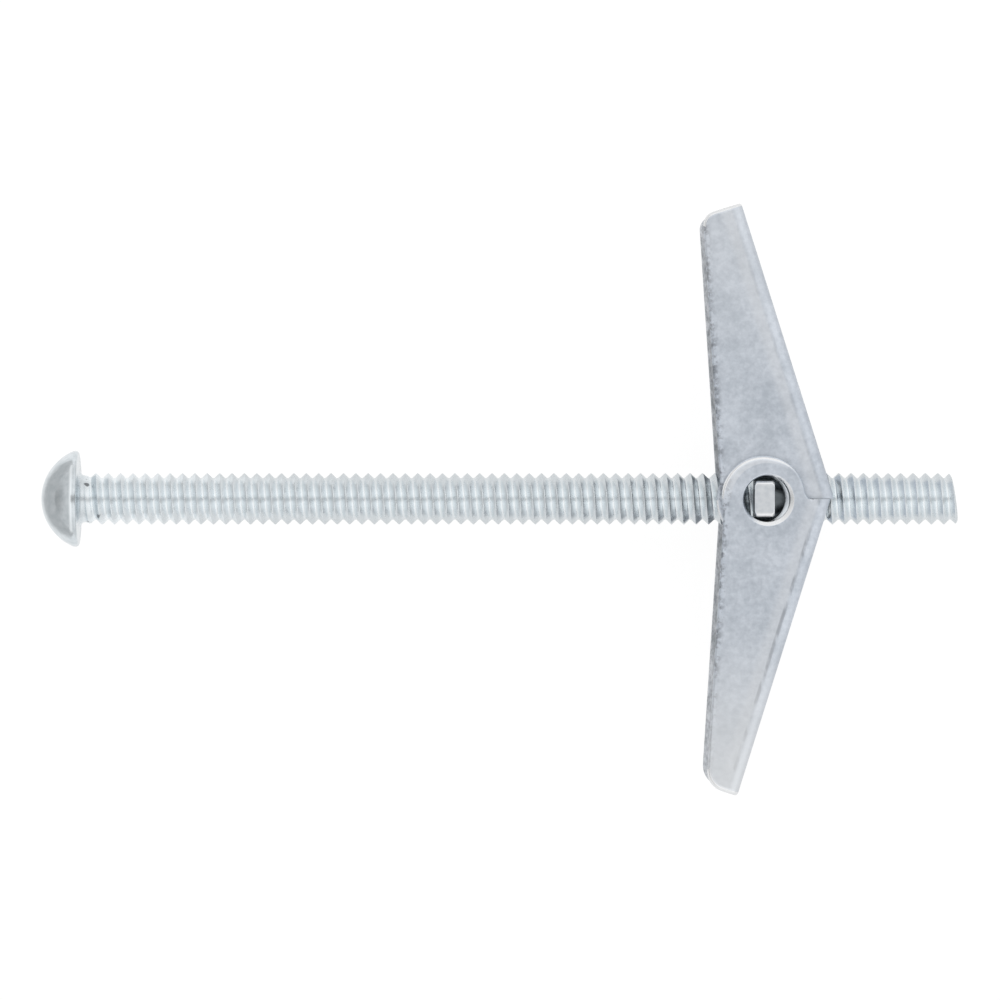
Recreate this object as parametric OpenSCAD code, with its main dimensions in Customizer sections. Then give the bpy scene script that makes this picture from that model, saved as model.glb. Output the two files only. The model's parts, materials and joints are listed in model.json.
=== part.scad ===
// Spring toggle bolt. A slotted round-head screw carries a pressed nut, and the nut's two side tabs are
// the pivot of a pair of sprung channel wings that fold back along the screw. X runs along the screw from
// the head's seat to the tip, Y runs across the open wings, and Z is the direction of the pivot.

/* [Screw] */
// Length from the head's seat to the tip
screw_l = 75.1; // [65:0.1:120]
// Diameter over the thread's crests
thread_d = 4.4; // [3.8:0.1:4.8]
// Depth of the thread from crest to root
thread_depth = 0.43; // [0.3:0.01:0.5]
// Distance from one turn of the thread to the next
thread_pitch = 1.0583; // [0.9:0.0001:1.3]
// Length of the plain neck between the seat and the thread
neck_l = 0.75; // [0.6:0.05:1.2]
// Diameter of the head
head_d = 8.2; // [7.4:0.1:10]
// Height of the head above its seat
head_h = 3.25; // [2.9:0.05:3.8]
// Height of the straight band between the seat and the dome
rim_h = 0.45; // [0.35:0.05:0.8]
// Rounding of the rim's edge at the seat
rim_round = 0.25; // [0.1:0.05:0.3]
// Fillet where the shank meets the seat
neck_fillet = 0.4; // [0.2:0.05:0.7]
// Width of the driver slot
slot_w = 1.2; // [0.9:0.05:1.5]
// Depth of the driver slot below the top of the dome
slot_depth = 1.7; // [1.2:0.05:2]
// Length over which the thread tapers off at the tip
tip_chamfer = 0.45; // [0.2:0.05:0.8]

/* [Nut] */
// Distance from the head's seat to the pivot
pivot_x = 58.4; // [40:0.1:62]
// Thickness of the pressed plate, which is also the tabs' width
nut_t = 1.7; // [1.4:0.05:2]
// Diameter of the plate round the bore
nut_d = 6.8; // [6.2:0.1:7.4]
// Height of each side tab
tab_h = 3.05; // [2.6:0.05:3.2]
// Chamfer on the end of each tab
tab_chamfer = 0.22; // [0.1:0.02:0.4]
// Wall of plate left beside the bore at each tab
shoulder_wall = 0.62; // [0.5:0.02:0.8]
// Length of the collar drawn out of the plate
collar_l = 1.7; // [1:0.1:2]
// Wall of the collar
collar_wall = 0.6; // [0.4:0.05:0.8]

/* [Spring] */
// Diameter of the wire
wire_d = 0.6; // [0.4:0.05:0.7]
// Radius of the two bends into the bridge
bridge_bend = 1.2; // [0.8:0.1:1.6]

/* [Wings] */
// Thickness of the sheet
sheet_t = 0.7; // [0.5:0.05:0.8]
// Outside radius of the two long bends
bend_r = 1; // [0.9:0.05:1.2]
// Lean of the open webs towards the head
lean = 17.5; // [12:0.5:24]
// Angle between the web and the flanges' free edge
edge_taper = 13.8; // [10:0.2:15]
// Reach from the pivot to the inner wing's tip
inner_reach = 24.45; // [20:0.05:28]
// Reach from the pivot to the outer wing's tip
outer_reach = 24.75; // [20:0.05:28]
// Distance from the pivot to the outside of the inner wing's web
inner_web = 5.94; // [5.7:0.02:6.4]
// Distance from the pivot to the outside of the outer wing's web
outer_web = 5.24; // [5.1:0.02:5.7]
// Depth of the inner wing's flanges at the tip
inner_tip_depth = 3.5; // [3:0.05:3.8]
// Depth of the outer wing's flanges at the tip
outer_tip_depth = 2.85; // [2.5:0.05:3.2]
// Rounding of the inner wing's tip corners
inner_tip_round = 1.2; // [0.6:0.1:1.6]
// Rounding of the outer wing's tip corners
outer_tip_round = 1.8; // [0.8:0.1:2]
// Radius of the round ears
ear_r = 3.55; // [3.3:0.05:3.7]
// Offset of the ears from the hole towards the free edge
ear_offset = 0.33; // [0:0.03:0.48]
// Fillet between an ear and the edge that stops the wings
ear_fillet = 0.8; // [0.4:0.1:1.2]
// Diameter of the hole in each ear
ear_hole_d = 3.9; // [3.6:0.05:4.2]
// Width of the rolled rim of each hole
hole_rim = 0.25; // [0.1:0.05:0.35]

/* [Clearances] */
// Between the thread's crests and the nut's bore, on the radius
thread_clear = 0.08; // [0.04:0.01:0.15]
// Between the screw and the half-round notch in each web
notch_clear = 0.45; // [0.3:0.05:0.7]
// Between a tab's corners and an ear hole pushed to one side
pivot_clear = 0.05; // [0.03:0.01:0.1]
// How far each wing sits to one side of the pivot in its loose holes
wing_play = 0.2; // [0:0.02:0.24]
// Between a tab's corners and the coil round it
coil_clear = 0.12; // [0.06:0.02:0.2]
// Along the pivot, between the shoulder, the coil's turns and the ear
coil_gap = 0.05; // [0.03:0.01:0.1]
// Between the inner and the outer ears
ear_gap = 0.08; // [0.05:0.01:0.15]
// Between the two web ends, which stop the wings as they open
stop_gap = 0.2; // [0.1:0.02:0.4]
// Between the inner wing's round heel and the outer wing's web as it swings past
heel_clear = 0.3; // [0.2:0.05:0.5]
// How far the tabs' ends lie inside the outer ears
tab_inset = 0.08; // [0:0.02:0.2]
// Between the spring's ends and the webs that they push
leg_gap = 0.05; // [0.03:0.01:0.1]

/* [Hidden] */
$fn = 64;

shank_r = thread_d / 2;
root_r = shank_r - thread_depth;
neck_r = shank_r - thread_depth / 2;
thread_sides = 16;
thread_start = 225;
groove_share = [0, 0.2, 0.6];
thread_steps = floor((screw_l - neck_l / 2) * thread_sides / thread_pitch);
thread_turns = thread_steps / thread_sides;
thread_x = screw_l - thread_turns * thread_pitch;
last_step = thread_steps + thread_sides;
head_r = head_d / 2;
cap_h = head_h - rim_h;
dome_r = (head_r * head_r + cap_h * cap_h) / (2 * cap_h);

bore_r = shank_r + thread_clear;
shoulder_z = bore_r + shoulder_wall;
hole_r = ear_hole_d / 2;
tab_r = hole_r - wing_play - pivot_clear;

wire_r = wire_d / 2;
coil_r = tab_r + coil_clear + wire_r;
coil_in_z = shoulder_z + coil_gap + wire_r;
coil_out_z = coil_in_z + wire_d + coil_gap;

inner_half_w = coil_out_z + wire_r + coil_gap + sheet_t;
outer_half_w = inner_half_w + ear_gap + sheet_t;
tab_end_z = outer_half_w - tab_inset;
heel_r = outer_web - sheet_t - heel_clear;

// Height above the pivot at which a straight leg that leaves the coil upright meets a leaning web
function leg_height(web_out, play) =
    (web_out - sheet_t - wire_r - leg_gap - (coil_r + play) * cos(lean)) / sin(lean);
bridge_y = leg_height(inner_web, wing_play);
leg_y = leg_height(outer_web, -wing_play);

// The wire's path on one side, as stations of [point, direction towards the coil's middle]
coil_steps = 24;
bend_steps = 5;
wire_sides = 10;
side_stations = concat(
    [[[coil_r, -leg_y, coil_out_z], [-1, 0, 0]]],
    [for (i = [0 : coil_steps])
        let (turn = 360 * i / coil_steps, inward = [-cos(turn), -sin(turn), 0])
        [-coil_r * inward + [0, 0, coil_out_z + (coil_in_z - coil_out_z) * i / coil_steps], inward]],
    [for (i = [0 : bend_steps])
        let (turn = 90 * i / bend_steps)
        [[coil_r, bridge_y - bridge_bend * (1 - sin(turn)), coil_in_z - bridge_bend * (1 - cos(turn))],
         [-1, 0, 0]]]
);
last_station = len(side_stations) - 1;
wire_stations = concat(
    side_stations,
    [for (i = [last_station : -1 : 0])
        let (p = side_stations[i][0])
        [[p[0], p[1], -p[2]], side_stations[i][1]]]
);

function unit(v) = v / norm(v);

// Ring of points round one station, square to the wire there
function wire_ring(i) =
    let (
        before = wire_stations[max(i - 1, 0)][0],
        after = wire_stations[min(i + 1, len(wire_stations) - 1)][0],
        across = unit(cross(unit(after - before), wire_stations[i][1])),
        inward = wire_stations[i][1]
    )
    [for (k = [0 : wire_sides - 1])
        let (turn = 360 * k / wire_sides)
        wire_stations[i][0] + wire_r * (cos(turn) * inward + sin(turn) * across)];

// Lays a shape drawn upright along the screw: its Z turns to X
module along_screw() {
    rotate([0, 90, 0]) children();
}

// Half section of the head, from its seat at zero upwards
module head_section() {
    intersection() {
        translate([0, head_h - dome_r]) circle(r = dome_r, $fn = 128);
        translate([0, rim_h]) square([head_r, cap_h]);
    }
    translate([0, rim_round]) square([head_r, rim_h - rim_round]);
    square([head_r - rim_round, rim_h]);
    translate([head_r - rim_round, rim_round]) intersection() {
        circle(r = rim_round);
        translate([0, -rim_round]) square(rim_round);
    }
}

// Half section of the plain neck and its fillet under the head
module neck_section() {
    square([neck_r, neck_l]);
    translate([neck_r, 0]) difference() {
        square(neck_fillet);
        translate([neck_fillet, neck_fillet]) circle(r = neck_fillet);
    }
}

// The thread, one closed skin that winds along the screw and ends square at both ends. Station s is one
// step along the helix, and corners 0 to 2 are the groove's start, the groove's end and the crest
function groove_x(s) = thread_x + thread_pitch * min(max(s / thread_sides - 1, 0), thread_turns);
function corner_x(s, corner) =
    groove_x(s) + groove_share[corner] * (groove_x(s + thread_sides) - groove_x(s));
function ridge(x) = thread_depth * min(max(2 * (x - neck_l) / thread_pitch, 0), 1);
function corner_r(x, corner) =
    corner < 2 ? root_r : root_r + min(ridge(x), thread_depth * (screw_l - x) / tip_chamfer);
function corner_point(s, corner) =
    let (x = corner_x(s, corner), r = corner_r(x, corner), turn = thread_start + 360 * s / thread_sides)
    [x, r * cos(turn), r * sin(turn)];

// Place of a corner in the list of points. All three meet at the first and at the last station
function corner_id(s, corner) =
    corner == 3 ? corner_id(s + thread_sides, 0)
    : s == 0 ? corner_id(thread_sides, 0)
    : s < last_step ? 3 * (s - 1) + corner
    : 3 * (last_step - 1) + (s - last_step) % thread_sides;

module thread() {
    points = concat(
        [for (s = [1 : last_step - 1], corner = [0 : 2]) corner_point(s, corner)],
        [for (s = [last_step : last_step + thread_sides - 1]) corner_point(s, 0)]
    );
    neck_end = [for (s = [1 : thread_sides]) corner_id(s, 0)];
    tip_end = [for (s = [thread_sides - 1 : -1 : 0]) corner_id(last_step + s, 0)];
    skin = [for (s = [0 : last_step - 1], corner = [0 : 2])
        let (
            a = corner_id(s, corner),
            b = corner_id(s + 1, corner),
            c = corner_id(s + 1, corner + 1),
            d = corner_id(s, corner + 1)
        )
        each concat(a == b || b == c ? [] : [[a, c, b]], c == d || d == a ? [] : [[a, d, c]])];
    polyhedron(points, concat([neck_end, tip_end], skin), convexity = 20);
}

module screw() {
    color([0.80, 0.83, 0.85]) {
        difference() {
            along_screw() union() {
                rotate_extrude() neck_section();
                mirror([0, 0, 1]) rotate_extrude() head_section();
            }
            translate([-head_h, 0, 0]) cube([2 * slot_depth, 2 * head_d, slot_w], center = true);
        }
        thread();
    }
}

// Face of the plate's two tabs, drawn along the pivot
module tab_face() {
    half_h = tab_h / 2;
    polygon([
        [half_h, tab_chamfer - tab_end_z], [half_h, tab_end_z - tab_chamfer],
        [half_h - tab_chamfer, tab_end_z], [tab_chamfer - half_h, tab_end_z],
        [-half_h, tab_end_z - tab_chamfer], [-half_h, tab_chamfer - tab_end_z],
        [tab_chamfer - half_h, -tab_end_z], [half_h - tab_chamfer, -tab_end_z]
    ]);
}

module trunnion_nut() {
    color([0.82, 0.84, 0.86]) translate([pivot_x, 0, 0]) difference() {
        union() {
            intersection() {
                rotate([90, 0, 90]) linear_extrude(nut_t, center = true) tab_face();
                cylinder(r = tab_r, h = 2 * tab_end_z, center = true);
            }
            intersection() {
                along_screw() cylinder(d = nut_d, h = nut_t, center = true);
                cube([nut_t, nut_d, 2 * shoulder_z], center = true);
            }
            along_screw() cylinder(r = bore_r + collar_wall, h = nut_t / 2 + collar_l);
        }
        along_screw() cylinder(r = bore_r, h = 2 * (nut_t + collar_l), center = true);
    }
}

module spring() {
    rings = len(wire_stations);
    points = [for (i = [0 : rings - 1]) each wire_ring(i)];
    near_cap = [for (k = [0 : wire_sides - 1]) k];
    far_cap = [for (k = [wire_sides - 1 : -1 : 0]) (rings - 1) * wire_sides + k];
    walls = [for (i = [0 : rings - 2], k = [0 : wire_sides - 1])
        let (
            a = i * wire_sides + k,
            b = i * wire_sides + (k + 1) % wire_sides
        )
        [a, a + wire_sides, b + wire_sides, b]];
    color([0.62, 0.64, 0.67]) translate([pivot_x, 0, 0])
        polyhedron(points, concat([near_cap, far_cap], walls), convexity = 10);
}

// Bar that runs in from far on the left to x, with its two right corners rounded
module round_nosed_bar(x, half_w, corner_r) {
    run = 2 * outer_reach;
    translate([x - run, corner_r - half_w]) square([run, 2 * (half_w - corner_r)]);
    translate([x - run, -half_w]) square([run - corner_r, 2 * half_w]);
    for (side = [-1, 1])
        translate([x - corner_r, side * (half_w - corner_r)]) circle(r = corner_r);
}

// Section of a wing across its length: a web on the right and two flanges
module channel_section(web_out, half_w) {
    difference() {
        round_nosed_bar(web_out, half_w, bend_r);
        round_nosed_bar(web_out - sheet_t, half_w - sheet_t, bend_r - sheet_t);
    }
}

// Fillet between the ear and the stop edge, drawn as the wing stands open
module stop_fillet() {
    ear = ear_offset * [-cos(lean), -sin(lean)];
    mid_y = stop_gap / 2 - ear_fillet;
    span = ear_r + ear_fillet;
    mid = [ear[0] + sqrt(span * span - (mid_y - ear[1]) * (mid_y - ear[1])), mid_y];
    difference() {
        polygon([ear, mid, [mid[0], stop_gap / 2], [ear[0], stop_gap / 2]]);
        translate(mid) circle(r = ear_fillet);
    }
}

// Side view of a wing with its pivot at the origin, its web upright on the right and its tip above
module wing_outline(web_out, reach, tip_depth, tip_round, heel_r) {
    free_x = web_out - tip_depth;
    round_mid = [free_x + tip_round * (1 - sin(edge_taper)) / cos(edge_taper), reach - tip_round];
    difference() {
        union() {
            polygon([
                [web_out, -reach],
                [web_out, reach],
                [round_mid[0], reach],
                round_mid + tip_round * [-cos(edge_taper), sin(edge_taper)],
                [free_x - reach * tan(edge_taper), 0],
                [free_x - reach * tan(edge_taper), -reach]
            ]);
            translate(round_mid) circle(r = tip_round);
        }
        rotate(-lean) translate([-2 * reach, stop_gap / 2 - 4 * reach])
            square(4 * reach);
    }
    translate([-ear_offset, 0]) circle(r = ear_r);
    rotate(-lean) stop_fillet();
    if (heel_r > 0) rotate(-lean) intersection() {
        circle(r = heel_r);
        translate([0, -ear_r]) square([heel_r, ear_r + ear_fillet]);
    }
}

// One wing, bent up from sheet, standing open above the pivot
module wing(web_out, reach, tip_depth, tip_round, half_w, heel_r) {
    rotate([0, 0, lean]) difference() {
        intersection() {
            linear_extrude(2 * half_w, center = true) wing_outline(web_out, reach, tip_depth, tip_round, heel_r);
            rotate([90, 0, 0]) linear_extrude(4 * reach, center = true)
                channel_section(web_out, half_w);
        }
        cylinder(r = hole_r, h = 4 * half_w, center = true);
        for (side = [0, 1]) mirror([0, 0, side]) translate([0, 0, half_w - hole_rim])
            cylinder(r1 = hole_r, r2 = hole_r + 2 * hole_rim, h = 2 * hole_rim);
        rotate([0, 0, -lean]) along_screw() cylinder(r = shank_r + notch_clear, h = 2 * web_out);
    }
}

module inner_wing() {
    color([0.75, 0.77, 0.80]) translate([pivot_x - wing_play, 0, 0])
        wing(inner_web, inner_reach, inner_tip_depth, inner_tip_round, inner_half_w, heel_r);
}

module outer_wing() {
    color([0.73, 0.75, 0.78]) translate([pivot_x + wing_play, 0, 0]) mirror([0, 1, 0])
        wing(outer_web, outer_reach, outer_tip_depth, outer_tip_round, outer_half_w, 0);
}

screw();
trunnion_nut();
spring();
inner_wing();
outer_wing();
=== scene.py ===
import json
from math import acos, asin, ceil, copysign, cos, hypot, pi, radians, sin

import bmesh
import bpy
from mathutils import Matrix, Vector


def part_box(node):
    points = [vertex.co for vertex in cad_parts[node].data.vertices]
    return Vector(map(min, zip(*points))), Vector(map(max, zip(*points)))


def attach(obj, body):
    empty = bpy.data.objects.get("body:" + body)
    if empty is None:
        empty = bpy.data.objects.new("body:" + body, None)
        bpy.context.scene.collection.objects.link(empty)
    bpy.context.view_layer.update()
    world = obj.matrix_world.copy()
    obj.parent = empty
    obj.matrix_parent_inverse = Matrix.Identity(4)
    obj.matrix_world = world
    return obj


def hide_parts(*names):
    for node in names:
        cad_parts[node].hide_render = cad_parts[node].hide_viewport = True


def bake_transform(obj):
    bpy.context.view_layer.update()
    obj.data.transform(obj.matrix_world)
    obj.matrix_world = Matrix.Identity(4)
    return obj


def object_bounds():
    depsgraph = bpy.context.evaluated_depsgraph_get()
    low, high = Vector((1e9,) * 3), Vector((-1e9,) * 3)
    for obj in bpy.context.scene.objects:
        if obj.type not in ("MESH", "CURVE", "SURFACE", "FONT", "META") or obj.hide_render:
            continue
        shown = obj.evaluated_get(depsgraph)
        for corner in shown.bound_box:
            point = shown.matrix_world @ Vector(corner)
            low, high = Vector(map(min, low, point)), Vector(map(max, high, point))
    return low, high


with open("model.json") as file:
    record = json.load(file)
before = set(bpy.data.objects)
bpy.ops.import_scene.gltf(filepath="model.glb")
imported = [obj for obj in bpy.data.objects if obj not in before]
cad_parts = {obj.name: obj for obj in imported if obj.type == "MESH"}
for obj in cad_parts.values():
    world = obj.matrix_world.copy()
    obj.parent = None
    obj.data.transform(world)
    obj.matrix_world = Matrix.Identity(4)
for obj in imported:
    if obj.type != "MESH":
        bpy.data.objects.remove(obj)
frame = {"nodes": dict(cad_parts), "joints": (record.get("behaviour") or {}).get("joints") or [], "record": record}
cadLow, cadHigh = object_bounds()
mm = 0.001
weld = 0.001 * mm
fineWeld = 0.0005 * mm
joints = {joint["name"]: joint for joint in frame["joints"]}
mounts = {mount["name"]: mount for mount in frame["record"]["mounts"]}
print("frame loaded:", ", ".join(sorted(frame["nodes"])))


# Shader maths: a socket that takes part in Python sums
class Socket:
    def __init__(self, tree, socket=None):
        self.tree = tree
        self.socket = socket

    def add(self, kind, settings=None, inputs=None, out=0):
        node = self.tree.nodes.new(kind)
        for name, value in (settings or {}).items():
            if name == "stops":
                ramp = node.color_ramp
                while len(ramp.elements) < len(value):
                    ramp.elements.new(0.5)
                for element, (place, shade) in zip(ramp.elements, value):
                    element.position = place
                    element.color = (shade, shade, shade, 1)
            else:
                setattr(node, name, value)
        for key, value in (inputs or {}).items():
            if isinstance(value, Socket):
                self.tree.links.new(value.socket, node.inputs[key])
            else:
                node.inputs[key].default_value = value
        return Socket(self.tree, node.outputs[out])

    def maths(self, operation, left, right):
        return self.add("ShaderNodeMath", {"operation": operation}, {0: left, 1: right})

    def __add__(self, other):
        return self.maths("ADD", self, other)

    def __radd__(self, other):
        return self.maths("ADD", other, self)

    def __sub__(self, other):
        return self.maths("SUBTRACT", self, other)

    def __rsub__(self, other):
        return self.maths("SUBTRACT", other, self)

    def __mul__(self, other):
        return self.maths("MULTIPLY", self, other)

    def __rmul__(self, other):
        return self.maths("MULTIPLY", other, self)

    def mixColour(self, first, second):
        return self.add(
            "ShaderNodeMix", {"data_type": "RGBA"}, {0: self, 6: (*first, 1), 7: (*second, 1)}, out=2
        )


def newMaterial(name):
    material = bpy.data.materials.new(name)
    material.use_nodes = True
    tree = material.node_tree
    shader = tree.nodes["Principled BSDF"]
    return material, Socket(tree), shader


def plug(maker, value, target):
    maker.tree.links.new(value.socket, target)


def dotWith(maker, place, vector):
    return maker.add("ShaderNodeVectorMath", {"operation": "DOT_PRODUCT"}, {0: place, 1: vector}, out=1)


def mapped(maker, value, fromLow, fromHigh, toLow, toHigh):
    return maker.add(
        "ShaderNodeMapRange", {"interpolation_type": "SMOOTHSTEP"},
        {"Value": value, "From Min": fromLow, "From Max": fromHigh, "To Min": toLow, "To Max": toHigh}
    )


# The same step on either side of a middle
def steppedOut(maker, distance, reach, toLow, toHigh):
    near, far = reach
    return mapped(maker, distance * distance, near ** 2, far ** 2, toLow, toHigh)


# Up to a top over one stretch and down to nothing over another
def between(maker, value, rise, fall, top=1):
    return mapped(maker, value, *rise, 0, top) * mapped(maker, value, *fall, 1, 0)


def rampOf(maker, stops, value):
    return maker.add("ShaderNodeValToRGB", {"stops": stops}, {"Fac": value})


def noiseAt(maker, place, scale, detail, roughness):
    return maker.add(
        "ShaderNodeTexNoise", {},
        {"Vector": place, "Scale": scale, "Detail": detail, "Roughness": roughness}
    )


def mixInto(maker, factor, under, over):
    return maker.add("ShaderNodeMix", {"data_type": "RGBA"}, {0: factor, 6: under, 7: (*over, 1)}, out=2)


def bumped(maker, shader, height, strength, distance):
    bump = maker.add(
        "ShaderNodeBump", {}, {"Strength": strength, "Distance": distance, "Height": height}
    )
    plug(maker, bump, shader.inputs["Normal"])


# Zinc-plated screw: bright, a little rougher on the rolled thread than on the head
screwLook = {
    "grainScale": 1500,
    "cloudScale": 260,
    "grainShare": 0.75,
    "spread": [(0.38, 0), (0.66, 1)],
    "dark": (0.615, 0.665, 0.695),
    "pale": (0.755, 0.8, 0.83),
    "threadFrom": (0.2 * mm, 0.8 * mm),
    "threadSheenLift": 0.55,
    "rootEdge": (1.79 * mm, 2.0 * mm),
    "root": (0.89, 0.935, 0.96),
    "rimRise": (-0.66 * mm, -0.5 * mm),
    "rimFall": (-0.42 * mm, -0.3 * mm),
    "rimEnds": (2.6 * mm, 3.12 * mm),
    "rimHighlightShare": 0.9,
    "neckRise": (0.4 * mm, 0.6 * mm),
    "neckFall": (1.6 * mm, 3 * mm),
    "neckSpeckScale": 1000,
    "neckSpeckEdge": (0.64, 0.7),
    "neckSpeckShare": 0.85,
    "neckSpeck": (0.12, 0.13, 0.14),
    "roughFrom": (-0.3 * mm, 0.3 * mm),
    "headRough": 0.15,
    "threadRough": 0.28,
    "roughSpread": 0.12,
    "bump": 0.06,
    "bumpHeight": 0.02 * mm,
}


def screwPlate(look):
    material, maker, shader = newMaterial("screwZinc")
    place = maker.add("ShaderNodeTexCoord", out=3)
    grain = noiseAt(maker, place, look["grainScale"], 4, 0.62)
    cloud = noiseAt(maker, place, look["cloudScale"], 3, 0.55)
    spread = rampOf(maker, look["spread"], grain * look["grainShare"] + cloud * (1 - look["grainShare"]))
    along = dotWith(maker, place, (1, 0, 0))
    up = dotWith(maker, place, (0, 0, 1))
    across = dotWith(maker, place, (0, 1, 0))
    # painted highlight: the thread is painted paler than the head, most of all in its roots, and a pale line is
    # painted along the head's rim
    radius = maker.maths("POWER", up * up + across * across, 0.5)
    threadSheen = mapped(maker, along, *look["threadFrom"], 0, 1)
    deep = mapped(maker, radius, *look["rootEdge"], 1, 0)
    threadSheen = threadSheen * (deep * (1 - look["threadSheenLift"]) + look["threadSheenLift"])
    rimHighlight = between(maker, along, look["rimRise"], look["rimFall"])
    rimHighlight = rimHighlight * steppedOut(maker, across, look["rimEnds"], look["rimHighlightShare"], 0)
    paintedSheen = maker.maths("MAXIMUM", threadSheen, rimHighlight)
    zinc = mixInto(maker, paintedSheen, spread.mixColour(look["dark"], look["pale"]), look["root"])
    # dark specks on the neck
    specks = noiseAt(maker, place, look["neckSpeckScale"], 1, 0.5)
    specks = mapped(maker, specks, *look["neckSpeckEdge"], 0, look["neckSpeckShare"])
    neck = between(maker, along, look["neckRise"], look["neckFall"])
    plug(maker, mixInto(maker, neck * specks, zinc, look["neckSpeck"]), shader.inputs["Base Color"])
    rough = mapped(maker, along, *look["roughFrom"], look["headRough"], look["threadRough"])
    plug(maker, rough + (grain - 0.5) * look["roughSpread"], shader.inputs["Roughness"])
    bumped(maker, shader, grain, look["bump"], look["bumpHeight"])
    shader.inputs["Metallic"].default_value = 1
    return material


screwZinc = screwPlate(screwLook)


# Painted light on the nut: its tab ends keep a bright zinc with a painted highlight towards their corners, and the
# rest of it, deep between the wings, is painted dark as shade
nutLook = {
    "grainScale": 1900,
    "dark": (0.66, 0.71, 0.76),
    "pale": (0.96, 0.98, 1),
    "cornerHighlightFrom": (1 * mm, 1.4 * mm),
    "cornerHighlightShare": 0.85,
    "corner": (1, 1, 1),
    "tabFrom": (4.6 * mm, 5.2 * mm),
    "recessShade": (0.2, 0.225, 0.24),
    "rough": 0.26,
    "roughSpread": 0.14,
    "bump": 0.08,
    "bumpHeight": 0.03 * mm,
}


def nutPlate(look):
    material, maker, shader = newMaterial("nutZinc")
    place = maker.add("ShaderNodeTexCoord", out=3)
    grain = noiseAt(maker, place, look["grainScale"], 4, 0.6)
    up = dotWith(maker, place, (0, 0, 1))
    across = dotWith(maker, place, (0, 1, 0))
    pale = grain.mixColour(look["dark"], look["pale"])
    # painted highlight towards the top and bottom corners of each tab
    corner = steppedOut(maker, across, look["cornerHighlightFrom"], 0, look["cornerHighlightShare"])
    pale = mixInto(maker, corner, pale, look["corner"])
    # painted shade: all but the tab ends is darkened, for the recess between the wings
    tabEnd = steppedOut(maker, up, look["tabFrom"], 0, 1)
    plug(maker, mixInto(maker, 1 - tabEnd, pale, look["recessShade"]), shader.inputs["Base Color"])
    plug(maker, look["rough"] + grain * look["roughSpread"], shader.inputs["Roughness"])
    bumped(maker, shader, grain, look["bump"], look["bumpHeight"])
    shader.inputs["Metallic"].default_value = 1
    return material


nutZinc = nutPlate(nutLook)


# Sizes of the wings' sheet, which the metal's marks follow too
wingSizes = {
    "lean": radians(17.5),
    "sheet": 0.7 * mm,
    "bendRadius": 1 * mm,
    "bendFacing": 0.1,
    "seamTilt": radians(9),
    "sliver": 0.02 * mm,
    "near": 0.03 * mm,
    "sharp": radians(60),
    "dieRoll": 0.22 * mm,
    "rollSteps": 4,
    "rollSlack": 1.02,
    "shearFrom": 0.9,
    "edgeReach": 1.2,
    "burr": 0.06 * mm,
    "burrSteps": 2,
    "earInside": 3 * mm,
    "earFacing": Vector((-0.5, 1, 0)).normalized(),
    "earShare": (1 * mm, 3 * mm),
    "tipNear": 0.6 * mm,
    "tipCorner": 1.6 * mm,
    "tipInset": 6 * mm,
    "tipInside": 3 * mm,
    "tipShare": (3 * mm, 5 * mm),
    "holeRadius": 1.95 * mm,
    "holeReach": 2.4 * mm,
    "holeTurn": (radians(40), radians(50)),
    "holeRound": 0.16 * mm,
    "holeSteps": 3,
    "rimShift": Vector((0.1, -0.1, 0)) * mm,
    "rimFade": 0.2 * mm,
    "stopGap": 0.1 * mm,
    "stopLeft": 0.01 * mm,
    "stopFrom": 2.6 * mm,
    "stopFade": 0.6 * mm,
    "stopReach": 1.05,
    "stopSharp": 0.95,
}


# The direction square to a wing's web, and how far out along it the web's outer face lies
def webFace(node, side):
    toWeb = Vector((cos(wingSizes["lean"]), side * sin(wingSizes["lean"]), 0))
    return toWeb, max(vert.co.dot(toWeb) for vert in frame["nodes"][node].data.vertices)


# Zinc-plated sheet: pale blue-grey with a fine mottle, and rough dark specks along its free edge
sheetLook = {
    "grainScale": 2300,
    "cloudScale": 330,
    "spread": [(0.38, 0), (0.64, 1)],
    "dark": (0.556, 0.605, 0.669),
    "pale": (0.737, 0.785, 0.855),
    "speckScale": 1500,
    "speckSpread": [(0.45, 0), (0.6, 1)],
    "speckShare": 0.8,
    "speckAndBendShade": (0.2, 0.215, 0.245),
    "edgeRise": (-0.3 * mm, 0),
    "edgeFall": (0.1 * mm, 0.75 * mm),
    "edgeRough": 0.1,
    "edgeBump": 2,
    "bendHighlightRise": (-0.1 * mm, 0.15 * mm),
    "bendHighlightFall": (0.5 * mm, 1.3 * mm),
    "bendHighlightShare": 0.35,
    "bendHighlight": (0.86, 0.88, 0.91),
    "lineReach": (0.04 * mm, 0.2 * mm),
    "lineDraw": (1, 0.3, 1),
    "lineScale": 900,
    "lineBreaks": (0.44, 0.62),
    "tipFrom": (8 * mm, 26 * mm),
    "tip": (0.84, 0.86, 0.88),
    "holeRingRise": (2.12 * mm, 2.2 * mm),
    "holeRingFall": (2.6 * mm, 3 * mm),
    "holeRingDark": (0.1, 0.12, 0.13),
    "gleamRise": (2.95 * mm, 3.1 * mm),
    "gleamFall": (3.7 * mm, 3.9 * mm),
    "paintedGleam": (0.95, 0.97, 1),
    "rough": 0.4,
    "roughSpread": 0.2,
    "bump": 0.1,
    "bumpHeight": 0.03 * mm,
}
# shares of the painted highlight towards the tip, the painted shade line at the bend, the dark ring round the hole
# and the painted highlight on the ear's rim
innerMarks = {"tip": 0.25, "line": 0.12, "holeRingDark": 0.9, "paintedGleam": 0}
outerMarks = {"tip": 0.8, "line": 0.5, "holeRingDark": 0, "paintedGleam": 0.45}


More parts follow.
